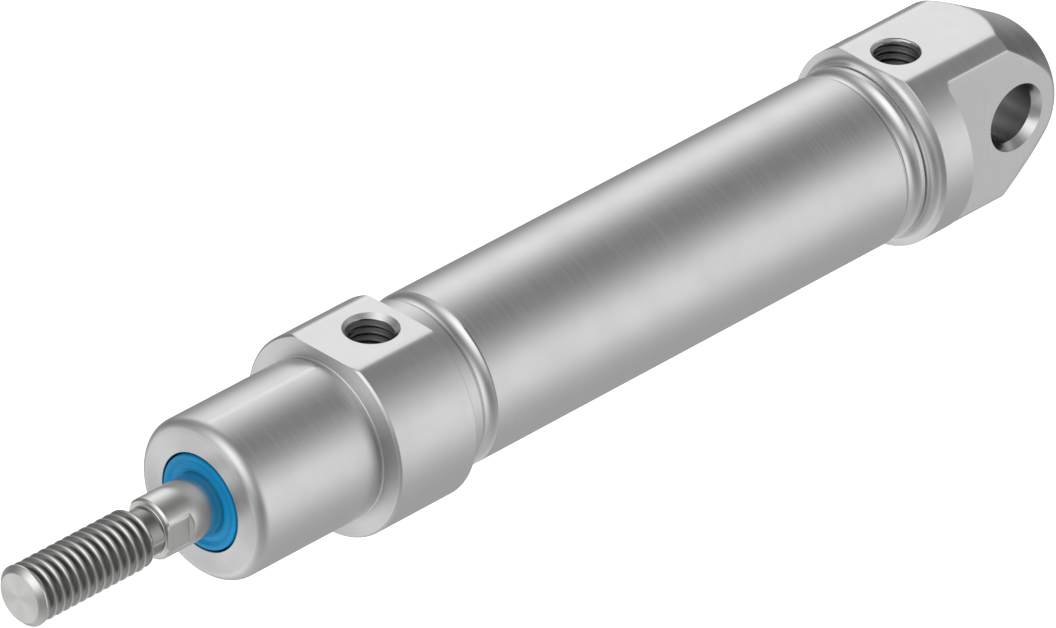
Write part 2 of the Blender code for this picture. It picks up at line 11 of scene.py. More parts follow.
import bmesh
import bpy
import numpy as np
from mathutils import Matrix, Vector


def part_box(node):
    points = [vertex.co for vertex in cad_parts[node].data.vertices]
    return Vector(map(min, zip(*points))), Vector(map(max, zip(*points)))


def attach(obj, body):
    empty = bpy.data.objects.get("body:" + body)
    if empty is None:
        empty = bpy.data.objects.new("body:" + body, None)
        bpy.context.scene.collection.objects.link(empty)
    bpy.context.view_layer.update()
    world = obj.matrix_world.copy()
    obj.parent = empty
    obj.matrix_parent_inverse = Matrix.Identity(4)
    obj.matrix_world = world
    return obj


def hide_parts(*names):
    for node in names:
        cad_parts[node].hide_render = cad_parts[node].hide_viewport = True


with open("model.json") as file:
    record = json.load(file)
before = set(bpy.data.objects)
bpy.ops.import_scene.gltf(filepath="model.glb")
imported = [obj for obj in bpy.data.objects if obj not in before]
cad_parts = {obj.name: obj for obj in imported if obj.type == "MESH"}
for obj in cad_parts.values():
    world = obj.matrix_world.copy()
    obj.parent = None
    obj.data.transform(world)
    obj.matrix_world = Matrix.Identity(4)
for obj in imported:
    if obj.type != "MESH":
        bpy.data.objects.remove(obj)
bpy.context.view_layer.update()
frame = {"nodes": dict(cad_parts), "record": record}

MM = 0.001


def reach(node, corner, axis):
    """One coordinate of a CAD node's box in millimetres: corner 0 is the low one and 1 the high one."""
    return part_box(node)[corner][axis] / MM


# Sizes read from the frame.
CAP_R = reach("end_cap", 1, 1)
BARREL_R = reach("barrel_tube", 1, 1)
PORT_FLAT_Z = reach("end_cap", 1, 2)
NOSE_END_X = reach("end_cap", 0, 0)
REAR_PLUG_END_X = reach("end_cap", 1, 0)
FRONT_PLUG_END_X = reach("bearing_cap", 0, 0)
SPIGOT_END_X = reach("bearing_cap", 1, 0)
BARREL_REAR_X = reach("barrel_tube", 0, 0)
BARREL_FRONT_X = reach("barrel_tube", 1, 0)
WIPER_FRONT_X = reach("rod_wiper_seal", 1, 0)
WIPER_BACK_X = reach("rod_wiper_seal", 0, 0)
ROD_END_X = reach("piston_rod", 1, 0)
STUD_END_X = reach("piston_rod", 0, 0)

# Gap between each end of the barrel and the face of its cap.
BARREL_END_GAP = 0.05

# Lug and end cap.
PIVOT_HOLE_R = 3.0
PIVOT_CHAMFER_R = 3.5
PIVOT_CHAMFER_DEPTH = 1.0
PIVOT_EDGE_R = 0.15
LUG_HALF_WIDTH = 6.0
LUG_SHOULDER_X = 10.0
LUG_CORNER_R = 0.7
NOSE_ARC_R = 5.5
NOSE_HALF_ANGLE = math.radians(30.0)
CONE_START_X = 1.45
CONE_EDGE_R = 0.5
END_CAP_FACE_X = BARREL_REAR_X - BARREL_END_GAP
END_CAP_RIM_R = 0.08

# The end cap's neck over the barrel, and how far the face above it leans.
NECK_LENGTH = 1.27
NECK_RISE = 0.1
NECK_FILLET_R = 0.85
NECK_FACE_LEAN = 0.05

# The end cap's port, and the air bore on the axis that it opens into.
REAR_PORT_X = 10.3
REAR_BORE_R = 2.5
REAR_BORE_END_X = 8.4
REAR_BORE_POINT = 1.4

# Bearing cap with its spigot. The port's flat doesn't reach in to FLANGE_ROUND_R.
SPIGOT_LENGTH = 15.6
FRONT_PORT_SETBACK = 6.0
FLANGE_X = SPIGOT_END_X - SPIGOT_LENGTH
BEARING_CAP_FACE_X = BARREL_FRONT_X + BARREL_END_GAP
FRONT_PORT_X = FLANGE_X - FRONT_PORT_SETBACK
SPIGOT_R = 8.0
SPIGOT_EDGE_R = 1.2
SPIGOT_BORE_EDGE_R = 0.06
FLANGE_CHAMFER = 0.22
FLANGE_RIM_R = 0.15
FLANGE_ROUND_R = SPIGOT_R + 0.5
BEARING_CAP_RIM_R = 0.15
UNDERCUT_DEPTH = 0.25
UNDERCUT_WIDTH = 0.5
UNDERCUT_FILLET_R = 0.2
SEAL_BORE_R = 4.9
SNAP_GROOVE_R = 5.25
SNAP_GROOVE_X = (97.4, 98.8)
ROD_PASSAGE_R = 4.3
BUSH_SEAT_X = 82.0

# Plugs of both caps, and the barrel rolled into their grooves.
PLUG_R = 7.9
PLUG_END_R = 0.3
GROOVE_CORNER_R = 0.2
BORE_R = 8.0
BARREL_EDGE_R = 0.2
BEAD_GROOVE_R = 7.25
BEAD_GROOVE_HALF_WIDTH = 1.2
REAR_BEAD_X = 16.6
FRONT_BEAD_X = 72.2
BEAD_HALF_WIDTH = 1.0
BEAD_DEPTH = 0.6
O_RING_GROOVE_R = 6.85
O_RING_GROOVE_HALF_WIDTH = 0.8
REAR_O_RING_X = 19.5
FRONT_O_RING_X = 69.5
BUMPER_SEAT_R = 6.2
BUMPER_SEAT_DEPTH = 0.7

# Air ports, M5 x 0.8.
PORT_THREAD_R = 2.5
PORT_CORE_R = 2.1
PORT_PITCH = 0.8
PORT_MOUTH_SLOPE = 1.0
PORT_RUN_IN_SLOPE = 0.6
REAR_PORT_MOUTH_R = 2.4
REAR_PORT_DEPTH = 7.2
FRONT_PORT_MOUTH_R = 2.7
FRONT_PORT_DEPTH = 4.6

# Rod with its M6 x 1 thread.
ROD_R = 3.0
STUD_R = 2.0
STUD_EDGE_R = 0.25
ROD_SHOULDER_X = 38.0
ROD_SHOULDER_EDGE_R = 0.15
THREAD_LENGTH = 16.0
THREAD_SHOULDER_X = ROD_END_X - THREAD_LENGTH
WRENCH_HALF_WIDTH = 2.5
WRENCH_LENGTH = 3.0
WRENCH_START_X = THREAD_SHOULDER_X - WRENCH_LENGTH
WRENCH_RAMP = 0.3
RELIEF_R = 2.3
RELIEF_FILLET_R = 0.15
SHOULDER_CHAMFER = 0.2
# Where the thread's darkened steel, painted shade, begins.
ROLLED_WITH_PAINTED_SHADE_START_X = THREAD_SHOULDER_X + 0.1
THREAD_START_X = THREAD_SHOULDER_X + 1.6
THREAD_PITCH = 1.0
THREAD_MID_R = 2.65
THREAD_HALF_DEPTH = 0.36
THREAD_TIP_R = 2.45
THREAD_TIP_RING = 0.7
THREAD_TIP_RING_SLOPE = 2.0
THREAD_CREST_R = 2.85
THREAD_RUN_IN_SLOPE = 1.1
THREAD_END_X = ROD_END_X - 0.1
ROD_TIP_R = 2.4
ROD_TIP_EDGE_R = 0.06
FLANK_SLOPE = math.tan(math.radians(60.0))

# Wiper: its body in the spigot's bore, the bead that snaps into the groove, its rim, its funnel and its lip.
WIPER_BODY_R = 4.8
WIPER_BACK_R = 4.75
WIPER_HOLLOW_R = 3.5
SNAP_BEAD_R = SNAP_GROOVE_R - 0.1
SNAP_BEAD_PLAY = 0.2
SNAP_BEAD_SLOPE = 0.2
SNAP_BEAD_EDGE_R = 0.1
WIPER_TAPER_R = 4.72
WIPER_TAPER_DEPTH = 0.4
WIPER_RIM_R = 4.66
WIPER_RIM_EDGE_R = 0.16
FUNNEL_MOUTH_R = 4.25
FUNNEL_R = 3.8
FUNNEL_DEPTH = 0.2
FUNNEL_FILLET_R = 0.3
RISE_R = 3.4
RISE_DEPTH = 0.05
RISE_FILLET_R = 0.2
LIP_DEPTH = 0.15
LIP_EDGE_R = 0.04
LIP_GAP = 0.01
LIP_BACK_DEPTH = 1.7
LIP_FOOT_R = 3.4
LIP_FOOT_DEPTH = 2.7

# A cutting tool stands this far out of the surface that it cuts, and a flat at UNCUT cuts nothing.
OVER_CUT = 0.5
UNCUT = 1e3

# How softly the corners of the flats are eased, and the least that a flat's distance is divided by.
SOFT_EDGE = 0.06
SMALLEST_DIVISOR = 1e-4

# Fineness along the profiles. An arc has a step for every ARC_STEP, and at least FEWEST_ARC_STEPS. A point
# stands GUARD before and after it, or GUARD_SHARE of its radius where that is less, so that its shading
# doesn't bleed into its neighbours. The nose's arc has NOSE_STEPS, and a point NOSE_GUARD before it.
ARC_STEP = math.radians(9.0)
FEWEST_ARC_STEPS = 3
GUARD = 0.05
GUARD_SHARE = 0.25
NOSE_STEPS = 26
NOSE_GUARD = 0.1
CONE_SPACING = 0.35
LUG_CORNER_STEPS = 10
BEAD_STEPS = 28
WRENCH_RAMP_STEPS = 8

# Fineness round the axis. Columns bunch at the corners of the flats, CORNER_SPREAD times a step from each,
# and COLUMNS_BETWEEN_CORNERS fill the stretches between the bunches. The step is CORNER_STEP, or less, so
# that half a flat holds HALF_FLAT_STEPS and the round between two flats ROUND_STEPS. No corner lies nearer
# to +Y or +Z than SMALLEST_TURN. The bearing cap has no side flats, and its columns bunch all the same, at
# the FREE_SIDE share of its radius.
CORNER_SPREAD = (-3.0, -1.5, -0.7, -0.25, 0.0, 0.25, 0.7, 1.5, 3.0)
CORNER_STEP = 0.05
HALF_FLAT_STEPS = 8
ROUND_STEPS = 12
COLUMNS_BETWEEN_CORNERS = (26, 22, 26, 28, 140, 28)
SMALLEST_TURN = math.radians(1.5)
FREE_SIDE = 0.6
PLAIN_COLUMNS = 256
WIPER_COLUMNS = 160
ROD_COLUMNS = 128
PIVOT_COLUMNS = 128
PORT_COLUMNS = 96
ROD_RINGS_PER_TURN = 24
PORT_RINGS_PER_TURN = 16

# Points this near in metres are merged, edges sharper than this are shaded sharp, and a face counts as
# square to an axis when its normal's part along it is this near to 1.
MERGED_WITHIN = 2e-7
SHARP_ANGLE = math.radians(33.0)
SQUARE_WITHIN = 1e-3


# --- Profiles -----------------------------------------------------------------------------------


def rounded(*corners):
    """Points of (x, r) along a profile. A corner given as (x, r, radius) becomes an arc of that radius."""
    points = []
    for index, corner in enumerate(corners):
        here = complex(*corner[:2])
        if len(corner) == 2:
            points.append(here)
            continue
        radius = corner[2]
        back = complex(*corners[index - 1][:2]) - here
        ahead = complex(*corners[index + 1][:2]) - here
        back, ahead = back / abs(back), ahead / abs(ahead)
        half = math.acos(max(-1.0, min(1.0, (back * ahead.conjugate()).real))) / 2
        run = radius / math.tan(half)
        centre = here + (back + ahead) / abs(back + ahead) * radius / math.sin(half)
        first, last = here + back * run - centre, here + ahead * run - centre
        turn = math.remainder(np.angle(last) - np.angle(first), math.tau)
        steps = max(FEWEST_ARC_STEPS, math.ceil(abs(turn) / ARC_STEP))
        guard = min(GUARD, radius * GUARD_SHARE)
        points.append(here + back * (run + guard))
        for step in range(steps + 1):
            points.append(centre + first * np.exp(1j * turn * step / steps))
        points.append(here + ahead * (run + guard))
    return [(point.real, point.imag) for point in points]


def densified(points, longest):
    """The same profile with points added so that no stretch is longer than that."""
    made = [points[0]]
    for near, far in zip(points, points[1:]):
        steps = max(1, math.ceil(math.dist(near, far) / longest))
        for step in range(1, steps + 1):
            made.append(tuple(a + (b - a) * step / steps for a, b in zip(near, far)))
    return made


# --- Meshes made of rings -----------------------------------------------------------------------


def ring(x, r, angles):
    """One ring of points round the axis; r may differ from column to column."""
    return np.stack([np.full_like(angles, x), r * np.cos(angles), r * np.sin(angles)], axis=1)


def even_angles(columns):
    return np.arange(columns) * math.tau / columns


def skinned(name, rings, closed=False, thread=None):
    """A mesh through rings with the same number of points; rings of no radius close it at the axis.

    Between the first and last ring of a thread, given as (first, last, rings per turn), the rings climb
    with the thread, so the last column meets the first one a turn further on.
    """
    columns = len(rings[0])
    count = len(rings)
    index = np.arange(count * columns).reshape(count, columns)
    beside = np.roll(index, -1, axis=1)
    if thread:
        first, last, per_turn = thread
        for k in range(first, last + 1):
            beside[k, -1] = index[min(k + per_turn, last), 0]
    pairs = [(k, k + 1) for k in range(count - 1)] + ([(count - 1, 0)] if closed else [])
    faces = []
    for near, far in pairs:
        quads = np.stack([index[near], index[far], beside[far], beside[near]], axis=1)
        faces.extend(quads.tolist())
    mesh = bpy.data.meshes.new(name)
    mesh.from_pydata((np.concatenate(rings) * MM).tolist(), [], faces)
    cleaned(mesh)
    return mesh


def threaded_rings(start, end, pitch, per_turn, angles, radii_at):
    """Rings that climb one pitch per turn from start to end, flat at both; radii_at gives their radii."""
    count = math.ceil((end - start) / pitch * per_turn)
    rings = []
    for k in range(-per_turn, count + 1):
        x = np.clip(start + pitch * (k / per_turn + angles / math.tau), start, end)
        r = radii_at(x)
        rings.append(np.stack([x, r * np.cos(angles), r * np.sin(angles)], axis=1))
    return rings


def cleaned(mesh):
    """Merges doubled points, drops faces without area and turns all faces outwards."""
    bm = bmesh.new()
    bm.from_mesh(mesh)
    bmesh.ops.remove_doubles(bm, verts=bm.verts, dist=MERGED_WITHIN)
    bmesh.ops.dissolve_degenerate(bm, edges=bm.edges, dist=MERGED_WITHIN)
    bmesh.ops.recalc_face_normals(bm, faces=bm.faces)
    bm.to_mesh(mesh)
    bm.free()


def lathed(name, profile, columns=PLAIN_COLUMNS, closed=True):
    angles = even_angles(columns)
    return skinned(name, [ring(x, r, angles) for x, r in profile], closed)


def shown(name, mesh, body, slot, looks, *nodes):
    """Adds a finished piece: shaded smooth, riding on its body and standing for its CAD nodes."""
    mesh.shade_smooth()
    mesh.set_sharp_from_angle(angle=SHARP_ANGLE)
    piece = bpy.data.objects.new(name, mesh)
    bpy.context.collection.objects.link(piece)
    for look in looks:
        mesh.materials.append(look)
    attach(piece, body)
    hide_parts(*nodes)


def cut_out(mesh, tools):
    """The mesh with each tool's mesh cut out of it."""
    body = bpy.data.objects.new("cut_body", mesh)
    bpy.context.collection.objects.link(body)
    helpers = [body]
    for tool in tools:
        helper = bpy.data.objects.new("cut_tool", tool)
        bpy.context.collection.objects.link(helper)
        helpers.append(helper)
        boolean = body.modifiers.new("cut", "BOOLEAN")
        boolean.operation = "DIFFERENCE"
        boolean.solver = "EXACT"
        boolean.material_mode = "TRANSFER"
        boolean.object = helper
    evaluated = body.evaluated_get(bpy.context.evaluated_depsgraph_get())
    made = bpy.data.meshes.new_from_object(evaluated)
    for helper in helpers:
        bpy.data.objects.remove(helper)
    return made


def turned_to(mesh, direction, x=0.0):
    """A mesh made round X, turned so that its axis points along +Y or +Z, and moved along X."""
    turn = Matrix.Rotation(-math.pi / 2, 4, "Y")
    if direction == "Y":
        turn = Matrix.Rotation(math.pi / 2, 4, "Z")
    mesh.transform(Matrix.Translation((x * MM, 0.0, 0.0)) @ turn)
    return mesh


# --- Turned sections with milled flats ----------------------------------------------------------


def flat_angles(r, half_width, height):
    """Columns round a section of radius r that bunch at the corners of its side flats and its top flat."""
    side = math.acos(min(math.cos(SMALLEST_TURN), half_width / r))
    top = math.asin(min(math.cos(SMALLEST_TURN), height / r))
    quarter_turn = math.pi / 2
    step = min(
        CORNER_STEP / r,
        side / HALF_FLAT_STEPS,
        (top - side) / ROUND_STEPS,
        (quarter_turn - top) / HALF_FLAT_STEPS,
    )
    corners = [side, top, math.pi - top, math.pi - side, math.pi + side, math.tau - side]
    following = corners[1:] + [math.tau + side]
    columns = []
    for corner, next_corner, count in zip(corners, following, COLUMNS_BETWEEN_CORNERS):
        columns.extend(corner + step * spread for spread in CORNER_SPREAD)
        start, end = corner + step * CORNER_SPREAD[-1], next_corner + step * CORNER_SPREAD[0]
        columns.extend(start + (end - start) * k / count for k in range(1, count))
    return np.array(columns)


def flat_radii(r, angles, half_width, height):
    """Radius at each column of a section cut by the flats, with the corners eased."""
    limits = np.stack(
        [
            np.full_like(angles, r),
            half_width / np.maximum(np.abs(np.cos(angles)), SMALLEST_DIVISOR),
            height / np.maximum(np.sin(angles), SMALLEST_DIVISOR),
        ]
    )
    least = limits.min(axis=0)
    return least - SOFT_EDGE * np.log(np.exp((least - limits) / SOFT_EDGE).sum(axis=0))


def flat_ring(x, r, half_width, height, angles=None):
    if angles is None:
        angles = flat_angles(r, half_width, height)
    return ring(x, flat_radii(r, angles, half_width, height), angles)


def port_flat_ring(x, r, side):
    """A ring cut by the port's flat alone; its side columns bunch at that share of its radius."""
    return flat_ring(x, r, UNCUT, PORT_FLAT_Z, flat_angles(r, side * r, PORT_FLAT_Z))


def plug(face_x, end_x, bead_x, o_ring_x):
    """Outside of a cap's plug, from its root to its end: bead groove, O-ring groove, bumper seat."""
    inward = 1.0 if end_x > face_x else -1.0
    bead = BEAD_GROOVE_HALF_WIDTH * inward
    groove = O_RING_GROOVE_HALF_WIDTH * inward
    return rounded(
        (face_x, PLUG_R),
        (bead_x - bead, PLUG_R),
        (bead_x - bead, BEAD_GROOVE_R, GROOVE_CORNER_R),
        (bead_x + bead, BEAD_GROOVE_R, GROOVE_CORNER_R),
        (bead_x + bead, PLUG_R),
        (o_ring_x - groove, PLUG_R),
        (o_ring_x - groove, O_RING_GROOVE_R, GROOVE_CORNER_R),
        (o_ring_x + groove, O_RING_GROOVE_R, GROOVE_CORNER_R),
        (o_ring_x + groove, PLUG_R),
        (end_x, PLUG_R, PLUG_END_R),
        (end_x, BUMPER_SEAT_R),
        (end_x - BUMPER_SEAT_DEPTH * inward, BUMPER_SEAT_R),
    )


def port_tool(port_x, mouth_r, depth):
    """The space of a tapped port along +Z, down from above its flat: countersink, M5 thread, core hole."""
    top = PORT_FLAT_Z + OVER_CUT
    foot = PORT_FLAT_Z - depth
    angles = even_angles(PORT_COLUMNS)
    deep = 0.5 * (PORT_THREAD_R - PORT_CORE_R)

    def radii_at(x):
        along = (x - foot) / PORT_PITCH - angles / math.tau
        from_root = np.abs(along - np.floor(along) - 0.5)
        wave = PORT_CORE_R + deep + deep * np.tanh((0.25 - from_root) * PORT_PITCH * FLANK_SLOPE / deep)
        run_in = PORT_CORE_R + np.maximum(0.0, x - foot) * PORT_RUN_IN_SLOPE
        mouth = mouth_r + (x - PORT_FLAT_Z) * PORT_MOUTH_SLOPE
        return np.maximum(np.minimum(wave, run_in), mouth)

    climbing = threaded_rings(foot, top, PORT_PITCH, PORT_RINGS_PER_TURN, angles, radii_at)
    rings = [ring(0.0, 0.0, angles), ring(0.0, PORT_CORE_R, angles), *climbing, ring(top, 0.0, angles)]
    thread = (2, 1 + len(climbing), PORT_RINGS_PER_TURN)
    return turned_to(skinned("port_tool", rings, thread=thread), "Z", port_x)


def pivot_tool():
    """The pivot hole along Y, chamfered at both mouths."""
    slope = (PIVOT_CHAMFER_R - PIVOT_HOLE_R) / PIVOT_CHAMFER_DEPTH
    inner = LUG_HALF_WIDTH - PIVOT_CHAMFER_DEPTH
    outer = LUG_HALF_WIDTH + OVER_CUT
    mouth = (outer, PIVOT_CHAMFER_R + OVER_CUT * slope)
    half = rounded((0.0, PIVOT_HOLE_R), (inner, PIVOT_HOLE_R, PIVOT_EDGE_R), mouth)[1:]
    profile = [(-x, r) for x, r in reversed(half)] + half
    profile = [(-outer, 0.0)] + profile + [(outer, 0.0)]
    return turned_to(lathed("pivot_tool", profile, PIVOT_COLUMNS, closed=False), "Y")


def marked_faces(mesh, material_index, chosen):
    """Gives the faces that the test picks another of the piece's materials."""
    for face in mesh.polygons:
        if chosen(face.center / MM, face.normal):
            face.material_index = material_index


# --- The pieces ---------------------------------------------------------------------------------


def nose_profile():
    """Rear end of the lug up to the cap's full radius: a flat end, an arc and a 60 degree cone."""
    arc_x = NOSE_END_X + NOSE_ARC_R
    slope = math.tan(NOSE_HALF_ANGLE)
    arc_r = CAP_R - (CONE_START_X - arc_x) * slope - NOSE_ARC_R * math.hypot(slope, 1.0)
    points = [(NOSE_END_X, 0.0), (NOSE_END_X, arc_r - NOSE_GUARD)]
    for step in range(NOSE_STEPS + 1):
        angle = math.pi - (math.pi / 2 - NOSE_HALF_ANGLE) * step / NOSE_STEPS
        points.append((arc_x + NOSE_ARC_R * math.cos(angle), arc_r + NOSE_ARC_R * math.sin(angle)))
    cone = rounded(points[-1], (CONE_START_X, CAP_R, CONE_EDGE_R), (LUG_SHOULDER_X, CAP_R))[1:-1]
    return points + densified([points[-1]] + cone[:1], CONE_SPACING)[1:] + cone[1:]


def with_looks(tool, wall_look, mouth_look, mouth):
    """A tool whose looks stay on what it cuts: one for its wall, one for the faces of its mouth."""
    tool.materials.append(wall_look)
    tool.materials.append(mouth_look)
    marked_faces(tool, 1, mouth)
    return tool


def port_mouth(mouth_r):
    """Test for the faces of a port's countersink."""
    return lambda at, normal: at.z > PORT_FLAT_Z - (mouth_r - PORT_CORE_R)


def pivot_mouth(at, normal):
    """Test for the faces of the pivot hole's chamfers."""
    return abs(at.y) > LUG_HALF_WIDTH - PIVOT_CHAMFER_DEPTH


def milled_flat(at, normal):
    """Test for the faces of a cap's flats: the one round its port and the two sides of the lug."""
    on_side = abs(normal.y) > 1.0 - SQUARE_WITHIN and at.x < LUG_SHOULDER_X
    return on_side or normal.z > 1.0 - SQUARE_WITHIN


def end_cap_edge():
    """The cap's end over the barrel: a face that is almost square, filleted into a short neck."""
    face_x = END_CAP_FACE_X - NECK_LENGTH
    neck_r = BARREL_R + NECK_RISE
    return rounded(
        (LUG_SHOULDER_X, CAP_R),
        (face_x, CAP_R, END_CAP_RIM_R),
        (face_x + NECK_FACE_LEAN, neck_r, NECK_FILLET_R),
        (END_CAP_FACE_X, neck_r),
    )[1:]


def make_end_cap(looks, bore_look, port_look):
    (tip_x, tip_r), *nose = nose_profile()
    rings = [ring(tip_x, tip_r, flat_angles(CAP_R, LUG_HALF_WIDTH, PORT_FLAT_Z))]
    rings.extend(flat_ring(x, r, LUG_HALF_WIDTH, PORT_FLAT_Z) for x, r in nose)
    corner_x = LUG_SHOULDER_X - LUG_CORNER_R
    for step in range(LUG_CORNER_STEPS + 1):
        turn = math.pi / 2 * step / LUG_CORNER_STEPS
        half_width = LUG_HALF_WIDTH + LUG_CORNER_R * (1.0 - math.cos(turn))
        x = corner_x + LUG_CORNER_R * math.sin(turn)
        rings.append(flat_ring(x, CAP_R, half_width, PORT_FLAT_Z))
    side = (LUG_HALF_WIDTH + LUG_CORNER_R) / CAP_R
    edge = end_cap_edge()
    rings.append(port_flat_ring(LUG_SHOULDER_X, CAP_R, side))
    rings.extend(port_flat_ring(x, r, side) for x, r in edge)
    inner = plug(END_CAP_FACE_X, REAR_PLUG_END_X, REAR_BEAD_X, REAR_O_RING_X) + [
        (REAR_PLUG_END_X - BUMPER_SEAT_DEPTH, REAR_BORE_R),
        (REAR_BORE_END_X, REAR_BORE_R),
        (REAR_BORE_END_X - REAR_BORE_POINT, 0.0),
    ]
    last_r = edge[-1][1]
    last = flat_angles(last_r, side * last_r, PORT_FLAT_Z)
    rings.extend(ring(x, r, last) for x, r in inner)
    mesh = skinned("end_cap_body", rings)
    mesh.materials.append(looks[0])
    port = port_tool(REAR_PORT_X, REAR_PORT_MOUTH_R, REAR_PORT_DEPTH)
    # The port's thread takes the near-black steel, painted shade in the hole; its countersink keeps the
    # turned steel.
    port = with_looks(port, port_look, looks[0], port_mouth(REAR_PORT_MOUTH_R))
    # The pivot hole's bore takes the greyer steel, painted shade inside the hole; its chamfers take the
    # milled steel.
    pivot = with_looks(pivot_tool(), bore_look, looks[1], pivot_mouth)
    mesh = cut_out(mesh, [pivot, port])
    shown("end_cap_body", mesh, "barrel", "cap_steel", looks[1:], "end_cap")
    marked_faces(mesh, mesh.materials.find(looks[1].name), milled_flat)


def make_bearing_cap(looks, port_look):
    outside = rounded(
        (BEARING_CAP_FACE_X, PLUG_R),
        (BEARING_CAP_FACE_X, CAP_R, BEARING_CAP_RIM_R),
        (FLANGE_X - FLANGE_CHAMFER, CAP_R, FLANGE_RIM_R),
        (FLANGE_X, CAP_R - FLANGE_CHAMFER, FLANGE_RIM_R),
        (FLANGE_X, FLANGE_ROUND_R),
    )
    outside_plug = plug(BEARING_CAP_FACE_X, FRONT_PLUG_END_X, FRONT_BEAD_X, FRONT_O_RING_X)
    first = flat_angles(PLUG_R, FREE_SIDE * PLUG_R, PORT_FLAT_Z)
    rings = [ring(x, r, first) for x, r in reversed(outside_plug)]
    rings.extend(port_flat_ring(x, r, FREE_SIDE) for x, r in outside[1:])
    front = rounded(
        (FLANGE_X, FLANGE_ROUND_R),
        (FLANGE_X, SPIGOT_R - UNDERCUT_DEPTH, UNDERCUT_FILLET_R),
        (FLANGE_X + UNDERCUT_WIDTH, SPIGOT_R - UNDERCUT_DEPTH),
        (FLANGE_X + UNDERCUT_WIDTH + UNDERCUT_DEPTH, SPIGOT_R),
        (SPIGOT_END_X, SPIGOT_R, SPIGOT_EDGE_R),
        (SPIGOT_END_X, SEAL_BORE_R, SPIGOT_BORE_EDGE_R),
        (SNAP_GROOVE_X[1], SEAL_BORE_R),
        (SNAP_GROOVE_X[1], SNAP_GROOVE_R),
        (SNAP_GROOVE_X[0], SNAP_GROOVE_R),
        (SNAP_GROOVE_X[0], SEAL_BORE_R),
        (BUSH_SEAT_X, SEAL_BORE_R),
        (BUSH_SEAT_X, ROD_PASSAGE_R),
        (FRONT_PLUG_END_X + BUMPER_SEAT_DEPTH, ROD_PASSAGE_R),
    )
    last = flat_angles(FLANGE_ROUND_R, FREE_SIDE * FLANGE_ROUND_R, PORT_FLAT_Z)
    rings.extend(ring(x, r, last) for x, r in front)
    mesh = skinned("bearing_cap_body", rings, closed=True)
    mesh.materials.append(looks[0])
    port = port_tool(FRONT_PORT_X, FRONT_PORT_MOUTH_R, FRONT_PORT_DEPTH)
    # The port's thread takes the near-black steel, painted shade in the hole; its countersink keeps the
    # turned steel.
    mesh = cut_out(mesh, [with_looks(port, port_look, looks[0], port_mouth(FRONT_PORT_MOUTH_R))])
    shown("bearing_cap_body", mesh, "barrel", "cap_steel", looks[1:], "bearing_cap")
    marked_faces(mesh, mesh.materials.find(looks[1].name), milled_flat)


def bead_outline(x, r, toward):
    """The tube's wall rolled inwards round x: one round valley between two crisp shoulders."""
    valley_r = (BEAD_HALF_WIDTH**2 + BEAD_DEPTH**2) / (2.0 * BEAD_DEPTH)
    reach_angle = math.asin(BEAD_HALF_WIDTH / valley_r)
    centre = r - BEAD_DEPTH + valley_r
    angles = [reach_angle * (2.0 * step / BEAD_STEPS - 1.0) for step in range(BEAD_STEPS + 1)]
    return [
        (x + toward * valley_r * math.sin(angle), centre - valley_r * math.cos(angle)) for angle in angles
    ]


def make_barrel(brushed, burnished):
    outside = rounded(
        (BARREL_REAR_X, BORE_R),
        (BARREL_REAR_X, BARREL_R, BARREL_EDGE_R),
        *bead_outline(REAR_BEAD_X, BARREL_R, 1.0),
        *bead_outline(FRONT_BEAD_X, BARREL_R, 1.0),
        (BARREL_FRONT_X, BARREL_R, BARREL_EDGE_R),
        (BARREL_FRONT_X, BORE_R),
        *bead_outline(FRONT_BEAD_X, BORE_R, -1.0),
        *bead_outline(REAR_BEAD_X, BORE_R, -1.0),
        (BARREL_REAR_X, BORE_R),
    )[:-1]
    mesh = lathed("barrel_body", outside)
    shown("barrel_body", mesh, "barrel", "barrel_steel", [brushed, burnished], "barrel_tube")
    for bead_x in (REAR_BEAD_X, FRONT_BEAD_X):
        marked_faces(mesh, 1, lambda at, normal: abs(at.x - bead_x) < BEAD_HALF_WIDTH)


def make_wiper(looks):
    front = WIPER_FRONT_X
    low, high = SNAP_GROOVE_X[0] + SNAP_BEAD_PLAY, SNAP_GROOVE_X[1] - SNAP_BEAD_PLAY
    lip_r = ROD_R + LIP_GAP
    profile = rounded(
        (WIPER_BACK_X, WIPER_HOLLOW_R),
        (WIPER_BACK_X, WIPER_BACK_R),
        (low, WIPER_BODY_R, SNAP_BEAD_EDGE_R),
        (low + SNAP_BEAD_SLOPE, SNAP_BEAD_R, SNAP_BEAD_EDGE_R),
        (high - SNAP_BEAD_SLOPE, SNAP_BEAD_R, SNAP_BEAD_EDGE_R),
        (high, WIPER_BODY_R, SNAP_BEAD_EDGE_R),
        (front - WIPER_TAPER_DEPTH, WIPER_TAPER_R),
        (front, WIPER_RIM_R, WIPER_RIM_EDGE_R),
        (front, FUNNEL_MOUTH_R, FUNNEL_FILLET_R),
        (front - FUNNEL_DEPTH, FUNNEL_R, FUNNEL_FILLET_R),
        (front - RISE_DEPTH, RISE_R, RISE_FILLET_R),
        (front - LIP_DEPTH, lip_r, LIP_EDGE_R),
        (front - LIP_BACK_DEPTH, lip_r),
        (front - LIP_FOOT_DEPTH, LIP_FOOT_R),
    )
    mesh = lathed("wiper_lip", profile, WIPER_COLUMNS)
    shown("wiper_lip", mesh, "barrel", "wiper_blue", looks, "rod_wiper_seal")


def thread_radii(x, angles):
    """Radius of the M6 thread at each column: eased flanks, a run-in, and a chamfered ring at the tip."""
    along = (x - THREAD_START_X) / THREAD_PITCH - angles / math.tau
    from_crest = np.abs(along - np.floor(along) - 0.5)
    flank = (0.25 - from_crest) * THREAD_PITCH * FLANK_SLOPE
    wave = THREAD_MID_R + THREAD_HALF_DEPTH * np.tanh(flank / THREAD_HALF_DEPTH)
    run_in = RELIEF_R + THREAD_RUN_IN_SLOPE * np.maximum(0.0, x - THREAD_START_X)
    run_out = THREAD_TIP_R + ROD_END_X - x
    tip_ring = ROD_R - THREAD_TIP_RING_SLOPE * np.maximum(0.0, ROD_END_X - THREAD_TIP_RING - x)
    return np.minimum(np.maximum(wave, tip_ring), np.minimum(run_in, run_out))


